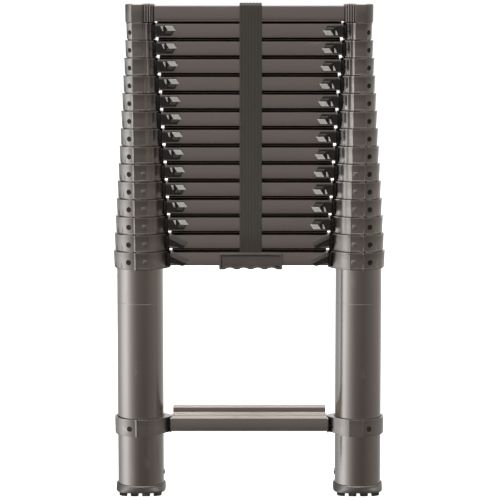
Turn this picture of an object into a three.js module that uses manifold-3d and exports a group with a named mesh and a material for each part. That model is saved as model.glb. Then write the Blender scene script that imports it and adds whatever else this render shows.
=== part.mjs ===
// A telescoping ladder, collapsed: fifteen nested pairs of tubes, each pair carried by a collar
// at either end of its own rung, over one fixed rung near the feet.
// Millimetres. +X to the right, +Y away from the climber, +Z up. The origin is on the ground,
// half way between the feet.
import * as THREE from 'three';
import { mergeVertices } from 'three/addons/utils/BufferGeometryUtils.js';
import Module from 'manifold-3d';

const wasm = await Module();
wasm.setup();

// Whole ladder
const sectionCount = 15; // the base counts as the first
const stileSpacing = 396.8; // between the axes of the two stiles
const rungSpacing = 304.8; // between rungs when extended
const stackPitch = 31.65; // between rungs when collapsed
const fixedRungHeight = 126.7; // middle of the fixed rung above the ground

// Tubes
const baseTubeRadius = 42.1;
const tubeWall = 1.4;
const tubeClearance = 0.55; // radial, between one tube and the next
const tubeTail = 40; // below the locking hole
const tubeSides = 16;
const rodSides = 6; // locking pins and their holes
const noseSteps = 6; // flats round a collar's nose
const ringSteps = 8; // flats round the back of a collar's ring
const leverTipSteps = 4;
const fingerSteps = 5;

// Collars and brackets
const seatGap = 0.3; // between pieces that touch
const stackGap = 0.4; // between stacked collars
const collarWall = 5.2; // round the outside of the tube
const noseReach = 14; // the rung end of a collar, past the tube's surface
const noseWall = 1.5; // in front of and behind the rung
const flange = 2; // over and under the rung's end
const bracketRise = 2; // the bracket nose's underside above its ring's underside
const rungInset = 3.5; // the rung's end, outside the tube's surface

// Rungs
const rungDepth = 45;
const treadDepth = 30; // front tread, up to the riser
const treadSlope = THREE.MathUtils.degToRad(10); // level when the ladder leans
const riserHeight = 9.3;
const faceDrop = 1.8; // the front face's top below the collar's top
const faceRise = 6; // the front face's bottom above the collar's bottom
const nestClearance = 0.8; // between one rung's rear and the next one's underside
const rungWall = 1.6;
const treadInset = 2.5; // the raised part's end, short of the collar's nose

// Latches
const pinRadius = 3.5;
const pinRise = 3; // above the collar's middle
const pinHoleClearance = 0.7;
const latchTravel = 7;
const leverSections = 2; // the lowest sections have slanted levers, the others thumb slides
const latchRise = 2.2; // its middle above the collar's middle
const latchLength = 35;
const latchHeight = 18.8;
const latchDepth = 8; // in front of the rung
const latchStart = 1.2; // past the collar's nose
const stemWidth = 6;
const stemStart = 8; // past the collar's nose
const leverBand = 9.5;
const leverRise = 2.5; // above the rung's front face
const leverDrop = 22;

// Top caps
const capRise = 1.6; // above a plain collar's height
const capWall = 9.2; // round the outside of the top tube

// Feet
const footWall = 3.4;
const footHeight = 11.6; // above the lugs
const plugHeight = 30; // inside the tube, above the boot's floor
const plugWall = 3;
const footFloor = 4;
const lugHeight = 7;
const lugWidth = 14.5;
const lugPitch = 20.8;
const lugCount = 4;
const soleInset = 2; // the lugs inside the boot's outline

// Carry handle
const gripOffset = 2.5; // the handle and strap sit a little right of the middle
const handleLength = 114;
const handleThickness = 17;
const handleTopDrop = 0.8; // below the base collar's top
const handleHang = 5.7; // below the base rung's front face
const fingerCount = 4;
const fingerPitch = 25;
const fingerRadius = 15;
const fingerDepth = 3.4;

// Strap
const strapWidth = 40;
const strapThickness = 2;
const strapGap = 0.5; // between the strap and what it lies against
const strapArch = 3; // rise of the loop over the top rung
const strapOverlap = 110; // the two ends where they close behind the ladder
const frontSplit = 4; // height of the front joint above the base rung's middle

// Worked out
const halfSpacing = stileSpacing / 2;
const collarHeight = stackPitch - stackGap;
const tubeStep = tubeWall + tubeClearance;
const rungFront = -rungDepth / 2;
const rungBack = rungDepth / 2;
const faceTop = stackPitch / 2 - faceDrop;
const faceBottom = -stackPitch / 2 + faceRise;
const noseRadius = rungDepth / 2 + noseWall;
const slope = Math.tan(treadSlope);
const baseMiddle = fixedRungHeight + rungSpacing;

const finish = {
  aluminium: { color: 0x7d756e, metalness: 0.85, roughness: 0.38 },
  casting: { color: 0x857c75, metalness: 0.75, roughness: 0.42 },
  latch: { color: 0x2d2927, metalness: 0.0, roughness: 0.5 },
  rubber: { color: 0x151413, metalness: 0.0, roughness: 0.85 },
  grip: { color: 0x6a615b, metalness: 0.0, roughness: 0.6 },
  webbing: { color: 0x48423a, metalness: 0.0, roughness: 0.9 },
};

const tubeRadius = (section) => baseTubeRadius - (section - 1) * tubeStep;
const middleOf = (section) => baseMiddle + (section - 1) * stackPitch;
const noseEnd = (section) => tubeRadius(section) + noseReach;
// x of a point so far inward of a stile's axis; side is -1 on the left, 1 on the right.
const across = (side, inward) => side * (halfSpacing - inward);

// Solids from three.js geometry

function solid(geometry) {
  const bare = geometry.index ? geometry.toNonIndexed() : geometry;
  bare.deleteAttribute('normal');
  bare.deleteAttribute('uv');
  const merged = mergeVertices(bare, 1e-4);
  return new wasm.Manifold(new wasm.Mesh({
    numProp: 3,
    vertProperties: new Float32Array(merged.attributes.position.array),
    triVerts: new Uint32Array(merged.index.array),
  }));
}

function extruded(points, length, basis, offset) {
  const shape = new THREE.Shape(points.map(([u, v]) => new THREE.Vector2(u, v)));
  const geometry = new THREE.ExtrudeGeometry(shape, { depth: length, bevelEnabled: false });
  geometry.applyMatrix4(basis);
  geometry.translate(...offset);
  return solid(geometry);
}

const axisX = new THREE.Vector3(1, 0, 0);
const axisY = new THREE.Vector3(0, 1, 0);
const axisZ = new THREE.Vector3(0, 0, 1);
const alongX = new THREE.Matrix4().makeBasis(axisY, axisZ, axisX);
const alongY = new THREE.Matrix4().makeBasis(axisX, axisZ, axisY.clone().negate());
const upright = new THREE.Matrix4();

// (y, z) outline along X, (x, z) outline along Y, (x, y) outline along Z
const bar = (points, x0, x1) => extruded(points, x1 - x0, alongX, [x0, 0, 0]);
const plate = (points, y0, y1) => extruded(points, y1 - y0, alongY, [0, y1, 0]);
const prism = (points, z0, z1) => extruded(points, z1 - z0, upright, [0, 0, z0]);

function block(xs, ys, zs) {
  const [x0, x1] = [Math.min(...xs), Math.max(...xs)];
  const geometry = new THREE.BoxGeometry(x1 - x0, ys[1] - ys[0], zs[1] - zs[0]);
  geometry.translate((x0 + x1) / 2, (ys[0] + ys[1]) / 2, (zs[0] + zs[1]) / 2);
  return solid(geometry);
}

function post(radius, x, z0, z1) {
  const geometry = new THREE.CylinderGeometry(radius, radius, z1 - z0, tubeSides);
  geometry.rotateX(Math.PI / 2);
  geometry.translate(x, 0, (z0 + z1) / 2);
  return solid(geometry);
}

function rod(radius, xs, z) {
  const [x0, x1] = [Math.min(...xs), Math.max(...xs)];
  const geometry = new THREE.CylinderGeometry(radius, radius, x1 - x0, rodSides);
  geometry.rotateY(Math.PI / rodSides);
  geometry.rotateZ(Math.PI / 2);
  geometry.translate((x0 + x1) / 2, 0, z);
  return solid(geometry);
}

const joined = (parts) => parts.reduce((sum, part) => sum.add(part));
const cut = (body, tools) => tools.reduce((rest, tool) => rest.subtract(tool), body);
const raised = (points, z) => points.map(([y, up]) => [y, up + z]);

// Outline moved outward by distance (inward when negative); points run anticlockwise.
function grown(points, distance) {
  const count = points.length;
  const edges = points.map(([ax, ay], i) => {
    const [bx, by] = points[(i + 1) % count];
    const length = Math.hypot(bx - ax, by - ay);
    const normal = [(by - ay) / length, (ax - bx) / length];
    return { normal, reach: normal[0] * ax + normal[1] * ay + distance };
  });
  return edges.map((edge, i) => {
    const before = edges[(i + count - 1) % count];
    const [a, b] = before.normal;
    const [c, d] = edge.normal;
    const det = a * d - b * c;
    return [(before.reach * d - b * edge.reach) / det, (a * edge.reach - before.reach * c) / det];
  });
}

function arc(cx, cy, radius, from, to, steps) {
  return Array.from({ length: steps + 1 }, (_, i) => {
    const angle = from + ((to - from) * i) / steps;
    return [cx + radius * Math.cos(angle), cy + radius * Math.sin(angle)];
  });
}

// Rungs

// The stepped outline that every rung but the top one has between its collars.
function treadOutline() {
  const riser = rungFront + treadDepth;
  const step = riser - nestClearance;
  const rearTop = faceTop + treadDepth * slope + riserHeight;
  const rearBottom = (y) => rearTop + (y - riser) * slope - stackPitch + nestClearance;
  return [
    [rungFront, faceBottom],
    [step, faceBottom + (step - rungFront) * slope],
    [step, rearBottom(step)],
    [rungBack, rearBottom(rungBack)],
    [rungBack, rearTop + (rungBack - riser) * slope],
    [riser, rearTop],
    [riser, faceTop + treadDepth * slope],
    [rungFront, faceTop],
  ];
}

// The same outline cut level with the top of the front face, as it is inside the collars.
function endOutline() {
  const [front, step, stepUp, rear] = treadOutline();
  return [front, step, stepUp, rear, [rungBack, faceTop], [rungFront, faceTop]];
}

const rungEnd = (section) => halfSpacing - tubeRadius(section) - rungInset;
const treadEnd = (section) => halfSpacing - noseEnd(section) - treadInset;

function rungBody(section, z) {
  const end = rungEnd(section);
  const tread = treadEnd(section);
  return joined([
    bar(raised(endOutline(), z), -end, end),
    bar(raised(treadOutline(), z), -tread, tread),
  ]);
}

function rungCavity(section, z, endWall) {
  const end = rungEnd(section) - endWall;
  const tread = treadEnd(section) - rungWall;
  return joined([
    bar(raised(grown(endOutline(), -rungWall), z), -end, end),
    bar(raised(grown(treadOutline(), -rungWall), z), -tread, tread),
  ]);
}

// Collars

// Plan of a collar: a ring round the tube, drawn out to a rounded nose that takes the rung.
function collarPlan(section, side, wall = collarWall) {
  const ring = tubeRadius(section) + wall;
  const centre = noseEnd(section) - noseRadius;
  const swallowed = Math.abs(centre) <= Math.abs(ring - noseRadius);
  const turn = swallowed ? Math.PI : Math.acos((ring - noseRadius) / centre);
  const nose = arc(centre, 0, noseRadius, -turn, turn, noseSteps);
  const back = arc(0, 0, ring, turn, 2 * Math.PI - turn, ringSteps);
  const outline = swallowed ? nose.slice(1) : [...nose, ...back.slice(1, -1)];
  return outline.map(([inward, y]) => [across(side, inward), y]);
}

function collarBody(section, side, z) {
  return prism(collarPlan(section, side), z - collarHeight / 2, z + collarHeight / 2);
}

function pinChannel(section, side, z) {
  const radius = tubeRadius(section);
  const reach = [across(side, radius - 2 * tubeWall), across(side, radius + rungInset + flange * 2)];
  return rod(pinRadius + pinHoleClearance, reach, z + pinRise);
}

// Opening in the rung's front wall that the latch's stem slides in.
function latchSlot(section, side, z) {
  const start = noseEnd(section) + stemStart - pinHoleClearance;
  const end = start + stemWidth + latchTravel + 2 * pinHoleClearance;
  const reach = pinRadius + pinHoleClearance;
  return block(
    [across(side, start), across(side, end)],
    [rungFront - rungWall, rungFront + 2 * rungWall],
    [z + pinRise - reach, z + pinRise + reach],
  );
}

function lockHole(section, side) {
  const radius = tubeRadius(section);
  const reach = [across(side, radius - 2 * tubeWall), across(side, radius + tubeWall)];
  return rod(pinRadius + pinHoleClearance, reach, middleOf(section) + pinRise - rungSpacing);
}

const tubeBottom = (section) => middleOf(section) - rungSpacing - tubeTail;
const bothSides = (make) => [-1, 1].map(make);

// One of the sections between the base and the top: two tubes, two collars and their rung.
function middleSection(section) {
  const z = middleOf(section);
  const top = z + collarHeight / 2;
  const radius = tubeRadius(section);
  const outside = joined([
    rungBody(section, z),
    ...bothSides((side) => collarBody(section, side, z)),
    ...bothSides((side) => post(radius, across(side, 0), tubeBottom(section), top)),
  ]);
  return cut(outside, [
    rungCavity(section, z, flange),
    ...bothSides((side) => {
      const inside = [tubeBottom(section) - tubeWall, top + tubeWall];
      return post(radius - tubeWall, across(side, 0), ...inside);
    }),
    ...bothSides((side) => pinChannel(section, side, z)),
    ...bothSides((side) => latchSlot(section, side, z)),
    ...bothSides((side) => lockHole(section, side)),
  ]);
}

// Base

function baseTube(side) {
  const bottom = lugHeight + footFloor + seatGap;
  const top = baseMiddle + collarHeight / 2 - flange - seatGap;
  const x = across(side, 0);
  return cut(post(baseTubeRadius, x, bottom, top), [
    post(baseTubeRadius - tubeWall, x, bottom - tubeWall, top + tubeWall),
    pinChannel(1, side, baseMiddle),
  ]);
}

function rungPocket(z) {
  const end = rungEnd(1) + seatGap;
  return bar(raised(grown(endOutline(), seatGap), z), -end, end);
}

function baseCollar(side) {
  const x = across(side, 0);
  const top = baseMiddle + collarHeight / 2;
  return cut(collarBody(1, side, baseMiddle), [
    post(baseTubeRadius + seatGap, x, baseMiddle - stackPitch, top - flange),
    post(baseTubeRadius - tubeWall, x, baseMiddle, top + flange),
    rungPocket(baseMiddle),
    pinChannel(1, side, baseMiddle),
  ]);
}

function baseRung() {
  return cut(rungBody(1, baseMiddle), [
    rungCavity(1, baseMiddle, -flange),
    ...bothSides((side) => latchSlot(1, side, baseMiddle)),
  ]);
}

function fixedRung() {
  return cut(rungBody(1, fixedRungHeight), [rungCavity(1, fixedRungHeight, -flange)]);
}

function fixedBracket(side) {
  const z = fixedRungHeight;
  const bottom = z - collarHeight / 2;
  const noseSide = [across(side, baseTubeRadius + collarWall), across(side, noseEnd(1) + flange)];
  return cut(collarBody(1, side, z), [
    post(baseTubeRadius + seatGap, across(side, 0), z - stackPitch, z + stackPitch),
    rungPocket(z),
    block(noseSide, [-2 * noseRadius, 2 * noseRadius], [bottom - flange, bottom + bracketRise]),
  ]);
}

function foot(side) {
  const x = across(side, 0);
  const outer = baseTubeRadius + footWall;
  const top = lugHeight + footHeight;
  const first = (-lugPitch * (lugCount - 1)) / 2;
  const sole = post(outer - soleInset, x, 0, lugHeight + footFloor / 2);
  const lugs = Array.from({ length: lugCount }, (_, i) => {
    const left = x + first + i * lugPitch - lugWidth / 2;
    return block([left, left + lugWidth], [-outer, outer], [0, lugHeight + footFloor / 2]);
  });
  const floor = lugHeight + footFloor;
  const plugRadius = baseTubeRadius - tubeWall - seatGap;
  const boot = cut(joined([post(outer, x, lugHeight, top), joined(lugs).intersect(sole)]), [
    post(baseTubeRadius + seatGap, x, floor, top + footWall),
  ]);
  return cut(boot.add(post(plugRadius, x, floor - seatGap, floor + plugHeight)), [
    post(plugRadius - plugWall, x, floor, floor + plugHeight + plugWall),
  ]);
}

function carryHandle() {
  const half = handleLength / 2;
  const back = rungFront - seatGap;
  const front = back - handleThickness;
  const top = baseMiddle + stackPitch / 2 - handleTopDrop;
  const bottom = baseMiddle + faceBottom - handleHang;
  const slotDepth = strapThickness + 2 * strapGap;
  const reach = strapWidth / 2 + 2 * strapGap;
  const first = (-fingerPitch * (fingerCount - 1)) / 2;
  const opening = Math.acos((fingerRadius - fingerDepth) / fingerRadius);
  const scallops = Array.from({ length: fingerCount }, (_, i) => {
    const middle = first + i * fingerPitch;
    const rise = bottom + fingerDepth - fingerRadius;
    return arc(middle, rise, fingerRadius, Math.PI / 2 + opening, Math.PI / 2 - opening, fingerSteps);
  });
  const outline = [[-half, bottom], ...scallops.flat(), [half, bottom], [half, top], [-half, top]];
  const handle = cut(plate(outline, front, back), [
    block([-reach, reach], [back - slotDepth, back + slotDepth], [bottom - flange, top + flange]),
  ]);
  return handle.translate([gripOffset, 0, 0]);
}

// Strap: an even band along a (y, z) path.
function ribbon(path) {
  const half = strapThickness / 2;
  const sideways = path.map(([y, z], i) => {
    const [ay, az] = path[Math.max(i - 1, 0)];
    const [by, bz] = path[Math.min(i + 1, path.length - 1)];
    const before = Math.atan2(z - az, y - ay);
    const after = Math.atan2(bz - z, by - y);
    const first = i === 0 ? after : before;
    const last = i === path.length - 1 ? before : after;
    const bend = Math.atan2(Math.sin(last - first), Math.cos(last - first)) / 2;
    const heading = first + bend;
    const reach = half / Math.cos(bend);
    return [-Math.sin(heading) * reach, Math.cos(heading) * reach];
  });
  const left = path.map(([y, z], i) => [y + sideways[i][0], z + sideways[i][1]]);
  const right = path.map(([y, z], i) => [y - sideways[i][0], z - sideways[i][1]]);
  return bar([...right, ...left.reverse()], gripOffset - strapWidth / 2, gripOffset + strapWidth / 2);
}

const strapLie = strapGap + strapThickness / 2; // the strap's middle off what it lies against

function strapLoop() {
  const front = rungFront - strapLie;
  const back = rungBack + strapLie;
  const rung = middleOf(sectionCount) + faceTop + strapLie;
  return ribbon([
    [front, baseMiddle + frontSplit],
    [front, rung],
    [rungFront / 2, rung + strapArch],
    [rungBack / 2, rung + strapArch],
    [back, rung],
    [back, baseMiddle + stackPitch],
  ]);
}

function strapTail() {
  const [, step, stepUp, rear] = treadOutline();
  const front = rungFront - strapLie;
  const back = rungBack + strapLie + strapThickness + strapGap;
  const under = baseMiddle - strapLie;
  return ribbon([
    [front, baseMiddle + frontSplit - seatGap],
    [front, under + faceBottom - strapGap],
    [step[0] + strapGap, under + step[1] - strapGap],
    [back - strapLie, under + rear[1] - strapGap],
    [back, baseMiddle + stepUp[1] + strapLie],
    [back, baseMiddle + strapOverlap],
  ]);
}

// Top

function topTube(side) {
  const z = middleOf(sectionCount);
  const top = z + collarHeight / 2;
  const radius = tubeRadius(sectionCount);
  const x = across(side, 0);
  return cut(post(radius, x, tubeBottom(sectionCount), top), [
    post(radius - tubeWall, x, tubeBottom(sectionCount) - tubeWall, top + tubeWall),
    lockHole(sectionCount, side),
  ]);
}

function topRung() {
  const z = middleOf(sectionCount);
  const end = rungEnd(sectionCount);
  return cut(bar(raised(endOutline(), z), -end, end), [
    bar(raised(grown(endOutline(), -rungWall), z), -end - rungWall, end + rungWall),
  ]);
}

function topCap(side) {
  const z = middleOf(sectionCount);
  const x = across(side, 0);
  const bottom = z - collarHeight / 2;
  const top = z + collarHeight / 2 + capRise;
  const end = rungEnd(sectionCount) + seatGap;
  return cut(prism(collarPlan(sectionCount, side, capWall), bottom, top), [
    post(tubeRadius(sectionCount) + seatGap, x, bottom - flange, z + collarHeight / 2 + seatGap),
    bar(raised(grown(endOutline(), seatGap), z), -end, end),
  ]);
}

// Latches: a thumb piece in front of the rung, a stem through the rung's slot and a locking pin.

function slideOutline(section, side, z) {
  const start = noseEnd(section) + latchStart;
  const low = z + latchRise - latchHeight / 2;
  const high = low + latchHeight;
  const chamfer = latchHeight / 3;
  const outline = [
    [start, low + chamfer / 2],
    [start + chamfer, low],
    [start + latchLength - chamfer, low],
    [start + latchLength, high - chamfer],
    [start + latchLength - chamfer / 2, high],
    [start, high],
  ];
  const flip = side > 0 ? (up) => low + high - up : (up) => up;
  return outline.map(([inward, up]) => [across(side, inward), flip(up)]);
}

function leverOutline(section, side, z) {
  const start = noseEnd(section) + latchStart;
  const high = z + faceTop + leverRise;
  const tip = start + latchLength - leverBand / 2;
  const low = high - leverDrop;
  return [
    [start, high - leverBand],
    [start, high],
    [start + leverBand / 2, high],
    ...arc(tip, low, leverBand / 2, Math.PI / 3, -Math.PI / 2, leverTipSteps),
    [tip - leverBand / 2, low - leverBand / 2],
  ].map(([inward, up]) => [across(side, inward), up]);
}

function latch(section, side) {
  const z = middleOf(section);
  const outline = section <= leverSections ? leverOutline : slideOutline;
  const nose = noseEnd(section);
  const stem = [across(side, nose + stemStart), across(side, nose + stemStart + stemWidth)];
  const tip = tubeRadius(section) - tubeWall - seatGap / 3;
  const face = rungFront - seatGap;
  return joined([
    plate(outline(section, side, z), face - latchDepth, face),
    block(stem, [face - latchDepth / 2, 0], [z + pinRise - pinRadius, z + pinRise + pinRadius]),
    rod(pinRadius, [across(side, tip), across(side, nose + stemStart + stemWidth)], z + pinRise),
  ]);
}

// Scene graph

function mesh(name, body, look) {
  const { vertProperties, triVerts } = body.getMesh();
  const geometry = new THREE.BufferGeometry();
  geometry.setAttribute('position', new THREE.BufferAttribute(new Float32Array(vertProperties), 3));
  geometry.setIndex(new THREE.BufferAttribute(new Uint32Array(triVerts), 1));
  geometry.computeVertexNormals();
  const piece = new THREE.Mesh(geometry, new THREE.MeshStandardMaterial({ ...look, flatShading: true }));
  piece.name = name;
  return piece;
}

const sideName = (side) => (side < 0 ? 'left' : 'right');
const number = (section) => String(section).padStart(2, '0');

function baseGroup() {
  const group = new THREE.Group();
  for (const side of [-1, 1]) {
    group.add(mesh(`base_tube_${sideName(side)}`, baseTube(side), finish.aluminium));
    group.add(mesh(`base_collar_${sideName(side)}`, baseCollar(side), finish.casting));
    group.add(mesh(`fixed_bracket_${sideName(side)}`, fixedBracket(side), finish.casting));
    group.add(mesh(`foot_${sideName(side)}`, foot(side), finish.rubber));
  }
  group.add(mesh('base_rung', baseRung(), finish.aluminium));
  group.add(mesh('fixed_rung', fixedRung(), finish.aluminium));
  group.add(mesh('carry_handle', carryHandle(), finish.grip));
  group.add(mesh('strap_tail', strapTail(), finish.webbing));
  return group;
}

function topGroup() {
  const group = new THREE.Group();
  for (const side of [-1, 1]) {
    group.add(mesh(`top_tube_${sideName(side)}`, topTube(side), finish.aluminium));
    group.add(mesh(`top_cap_${sideName(side)}`, topCap(side), finish.casting));
  }
  group.add(mesh('top_rung', topRung(), finish.aluminium));
  group.add(mesh('strap_loop', strapLoop(), finish.webbing));
  return group;
}

const ladder = new THREE.Group();
ladder.add(baseGroup());
for (let section = 2; section < sectionCount; section += 1) {
  ladder.add(mesh(`section_${number(section)}`, middleSection(section), finish.aluminium));
}
ladder.add(topGroup());
for (let section = 1; section < sectionCount; section += 1) {
  for (const side of [-1, 1]) {
    ladder.add(mesh(`latch_${number(section)}_${sideName(side)}`, latch(section, side), finish.latch));
  }
}

export default ladder;
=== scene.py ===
import math

import bmesh
import bpy
from mathutils import Matrix, Vector


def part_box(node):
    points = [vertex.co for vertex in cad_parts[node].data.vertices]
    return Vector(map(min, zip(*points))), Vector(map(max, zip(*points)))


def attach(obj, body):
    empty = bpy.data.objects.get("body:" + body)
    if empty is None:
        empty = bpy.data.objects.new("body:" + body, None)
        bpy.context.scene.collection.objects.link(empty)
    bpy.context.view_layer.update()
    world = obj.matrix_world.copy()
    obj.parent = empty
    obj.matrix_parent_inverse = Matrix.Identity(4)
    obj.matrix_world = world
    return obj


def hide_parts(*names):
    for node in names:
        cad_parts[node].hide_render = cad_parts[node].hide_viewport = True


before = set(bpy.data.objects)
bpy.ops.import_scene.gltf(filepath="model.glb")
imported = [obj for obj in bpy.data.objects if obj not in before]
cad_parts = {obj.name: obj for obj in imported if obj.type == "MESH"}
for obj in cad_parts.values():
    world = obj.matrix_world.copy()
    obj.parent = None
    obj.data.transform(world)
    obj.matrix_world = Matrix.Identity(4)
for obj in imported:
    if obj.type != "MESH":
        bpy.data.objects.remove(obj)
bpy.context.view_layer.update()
print("frame loaded:", len(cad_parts), "nodes")

mm = 0.001
sides = {"left": -1, "right": 1}
sectionCount = 15

# sizes that the frame already holds
tubeLow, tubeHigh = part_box("base_tube_left")
topTubeLow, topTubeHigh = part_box("top_tube_left")
collarLow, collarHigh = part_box("base_collar_left")
bracketLow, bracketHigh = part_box("fixed_bracket_left")
capLow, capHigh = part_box("top_cap_left")
rungLow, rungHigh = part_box("base_rung")
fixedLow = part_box("fixed_rung")[0]
topRungLow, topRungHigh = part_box("top_rung")
handleLow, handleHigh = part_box("carry_handle")
loopLow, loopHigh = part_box("strap_loop")
tailLow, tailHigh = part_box("strap_tail")

halfSpacing = -(tubeLow.x + tubeHigh.x) / 2
baseRadius = (tubeHigh.y - tubeLow.y) / 2
topRadius = (topTubeHigh.y - topTubeLow.y) / 2
radiusStep = (baseRadius - topRadius) / (sectionCount - 1)
stackPitch = (topRungLow.z - rungLow.z) / (sectionCount - 1)
collarHeight = collarHigh.z - collarLow.z
baseMiddle = (collarHigh.z + collarLow.z) / 2
collarWall = -halfSpacing - collarLow.x - baseRadius
noseReach = collarHigh.x + halfSpacing - baseRadius
rungFront = rungLow.y
rungBack = rungHigh.y
noseRadius = rungBack + 1.5 * mm
fixedMiddle = baseMiddle - (rungLow.z - fixedLow.z)
rungSpacing = baseMiddle - fixedMiddle


def tubeRadius(section):
    return baseRadius - (section - 1) * radiusStep


def middleOf(section):
    return baseMiddle + (section - 1) * stackPitch


def bodyOf(section):
    if section == 1:
        return "base"
    return "top_section" if section == sectionCount else f"section_{section:02d}"


# x of a point that lies so far inward of a stile's axis
def across(side, inward):
    return side * (halfSpacing - inward)


def mixed(low, high, part):
    return low + (high - low) * part


class Wire:
    # an output of a node graph that takes part in plain arithmetic
    def __init__(self, graph, socket):
        self.graph = graph
        self.socket = socket

    def __add__(self, other):
        return self.graph.maths("ADD", self, other)

    def __radd__(self, other):
        return self.graph.maths("ADD", other, self)

    def __sub__(self, other):
        return self.graph.maths("SUBTRACT", self, other)

    def __rsub__(self, other):
        return self.graph.maths("SUBTRACT", other, self)

    def __mul__(self, other):
        return self.graph.maths("MULTIPLY", self, other)

    def __rmul__(self, other):
        return self.graph.maths("MULTIPLY", other, self)

    def __truediv__(self, other):
        return self.graph.maths("DIVIDE", self, other)


class Graph:
    def __init__(self, tree):
        self.tree = tree

    # any node, from its type, its settings and the values or links of its sockets
    def node(self, kind, settings=None, inputs=None, out=0):
        made = self.tree.nodes.new(kind)
        for key, value in (settings or {}).items():
            if key == "stops":
                ramp = made.color_ramp
                while len(ramp.elements) < len(value):
                    ramp.elements.new(1.0)
                for element, (place, colour) in zip(ramp.elements, value):
                    element.position = place
                    element.color = (*colour, 1.0)
            else:
                setattr(made, key, value)
        for key, value in (inputs or {}).items():
            if isinstance(value, Wire):
                self.tree.links.new(value.socket, made.inputs[key])
            else:
                made.inputs[key].default_value = value
        return Wire(self, made.outputs[out])

    def maths(self, operation, first, second=0.0):
        return self.node("ShaderNodeMath", {"operation": operation}, {0: first, 1: second})

    def steps(self, value, low, high):
        # 0 under low, 1 over high, smooth between
        ranged = {"interpolation_type": "SMOOTHSTEP"}
        return self.node("ShaderNodeMapRange", ranged, {0: value, 1: low, 2: high})

    def blend(self, part, first, second):
        colours = {"data_type": "RGBA"}
        return self.node("ShaderNodeMix", colours, {0: part, 6: first, 7: second}, out=2)

    def apart(self, vector):
        made = self.node("ShaderNodeSeparateXYZ", None, {0: vector}).socket.node
        return (Wire(self, made.outputs[axis]) for axis in "XYZ")

    def place(self, stretch=(1, 1, 1)):
        # the piece's own coordinates in metres, stretched
        own = self.node("ShaderNodeTexCoord", out="Object")
        return self.node("ShaderNodeVectorMath", {"operation": "MULTIPLY"}, {0: own, 1: stretch})

    def noise(self, scale, stretch=(1, 1, 1), detail=3.0):
        inputs = {"Vector": self.place(stretch), "Scale": scale, "Detail": detail}
        return self.node("ShaderNodeTexNoise", None, inputs)


class Finish(Graph):
    def __init__(self, name, constants):
        self.material = bpy.data.materials.new(name)
        self.material.use_nodes = True
        super().__init__(self.material.node_tree)
        self.shader = self.tree.nodes["Principled BSDF"]
        for key, value in constants.items():
            self.shader.inputs[key].default_value = value

    def feed(self, key, wire):
        self.tree.links.new(wire.socket, self.shader.inputs[key])

    def bump(self, height, strength, distance):
        inputs = {"Height": height, "Strength": strength, "Distance": distance}
        self.feed("Normal", self.node("ShaderNodeBump", None, inputs))


def rgba(colour, gain=1.0):
    return (*(channel * gain for channel in colour), 1.0)


# anodised aluminium with the lines of the brush or the extrusion die along one axis
anodised = {
    "tubeColour": (0.50, 0.455, 0.42),
    "rungColour": (0.41, 0.367, 0.335),
    "tubeRoughness": 0.23,
    "rungRoughness": 0.3,
    "lineScale": 700.0,
    "lineDepth": 0.06 * mm,
    "alongStretch": 0.012,
    "cloudScale": 9.0,
    "scuffScale": 46.0,
}


def anodisedFinish(name, colour, roughness, along):
    finish = Finish(name, {"Metallic": 1.0, "Specular IOR Level": 0.5})
    stretch = [1.0, 1.0, 1.0]
    stretch[along] = anodised["alongStretch"]
    lines = finish.noise(anodised["lineScale"], tuple(stretch), 4.0)
    clouds = finish.noise(anodised["cloudScale"])
    patches = finish.noise(anodised["scuffScale"], tuple(0.25 + 0.75 * s for s in stretch), 6.0)
    scuffs = finish.steps(patches, 0.6, 0.76)
    shade = clouds * 0.6 + lines * 0.4
    body = finish.blend(shade, rgba(colour, 0.9), rgba(colour, 1.1))
    finish.feed("Base Color", finish.blend(scuffs * 0.35, body, rgba(colour, 1.3)))
    finish.feed("Roughness", roughness - 0.05 + lines * 0.1 + scuffs * 0.12)
    finish.bump(lines + scuffs * -0.4, 0.35, anodised["lineDepth"])
    return finish.material


cast = {
    "colour": (0.48, 0.44, 0.405),
    "roughness": 0.27,
    "grainScale": 1500.0,
    "grainDepth": 0.05 * mm,
    "cloudScale": 24.0,
    "rubScale": 70.0,
}


def castFinish(name, gain, roughness):
    finish = Finish(name, {"Metallic": 1.0})
    grain = finish.noise(cast["grainScale"], detail=2.0)
    clouds = finish.noise(cast["cloudScale"], detail=4.0)
    rubbed = finish.steps(finish.noise(cast["rubScale"], detail=6.0), 0.58, 0.72)
    dark, light, worn = (rgba(cast["colour"], part * gain) for part in (0.86, 1.12, 1.35))
    finish.feed("Base Color", finish.blend(rubbed * 0.3, finish.blend(clouds, dark, light), worn))
    finish.feed("Roughness", roughness + grain * 0.1 - rubbed * 0.06)
    finish.bump(grain, 0.4, cast["grainDepth"])
    return finish.material


plastic = {
    "grainScale": 1900.0,
    "grainDepth": 0.05 * mm,
    "cloudScale": 30.0,
}


def plasticFinish(name, colour, roughness, grainDepth=plastic["grainDepth"]):
    finish = Finish(name, {"Metallic": 0.0, "Specular IOR Level": 0.45})
    grain = finish.noise(plastic["grainScale"], detail=2.0)
    clouds = finish.noise(plastic["cloudScale"], detail=4.0)
    finish.feed("Base Color", finish.blend(clouds, rgba(colour, 0.8), rgba(colour, 1.25)))
    finish.feed("Roughness", roughness + grain * 0.12)
    finish.bump(grain, 0.5, grainDepth)
    return finish.material


rubber = {
    "colour": (0.013, 0.012, 0.0115),
    "dustColour": (0.07, 0.066, 0.06),
    "roughness": 0.62,
    "grainScale": 900.0,
    "grainDepth": 0.12 * mm,
    "dustScale": 60.0,
}


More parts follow.
